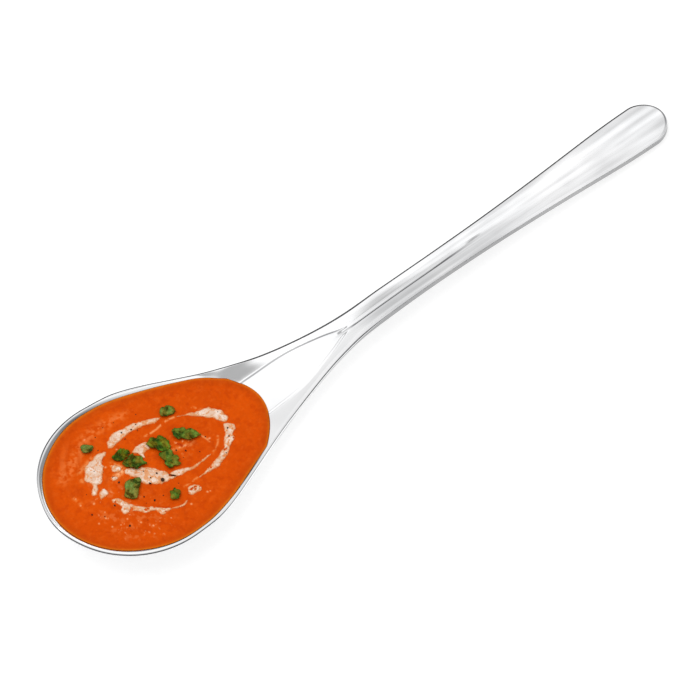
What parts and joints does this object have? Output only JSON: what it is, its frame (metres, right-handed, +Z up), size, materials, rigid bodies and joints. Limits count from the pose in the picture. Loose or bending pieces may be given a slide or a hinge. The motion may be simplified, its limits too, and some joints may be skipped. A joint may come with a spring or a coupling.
{
  "type": "soup spoon",
  "caption": "Polished steel soup spoon lying down, with an egg-shaped bowl full of orange soup, a cream swirl, loose herb leaves and pepper, and a creased handle with a round end.",
  "frame": {"origin": "centre of the flat spot under the bowl that the spoon rests on, at table height", "axes": "+Z up, +X from the bowl along the spoon towards the end of the handle, Y across the spoon"},
  "size_m": [0.19, 0.0446, 0.0144],
  "materials": {
    "steel": "stainless steel, mirror polished",
    "soup": "wet, glossy, opaque orange",
    "cream": "wet, off-white, edges marbled with the soup",
    "herb": "fresh leaf, slightly waxy, veined",
    "pepper": "dull dark grain"
  },
  "bodies": {
    "spoon": {"spoon_body": "steel"},
    "serving": {"soup": "soup", "cream_far": "cream", "cream_left": "cream", "cream_left_drop": "cream", "cream_near_left": "cream", "cream_middle": "cream", "cream_inner": "cream", "cream_inner_arc": "cream", "cream_ring_right": "cream", "cream_ring_near": "cream", "cream_drop": "cream", "pepper_flecks": "pepper"},
    "garnish": {"leaf_1": "herb", "leaf_2": "herb", "leaf_3": "herb", "leaf_4": "herb", "leaf_5": "herb", "leaf_6": "herb", "leaf_7": "herb", "leaf_8": "herb", "leaf_9": "herb"}
  },
  "joints": [
    {"name": "serving_lift", "type": "slide", "parent": "spoon", "child": "serving", "axis": [0, 0, 1], "range_m": [0, 0.04]},
    {"name": "garnish_lift", "type": "slide", "parent": "serving", "child": "garnish", "axis": [0, 0, 1], "range_m": [0, 0.03]}
  ]
}
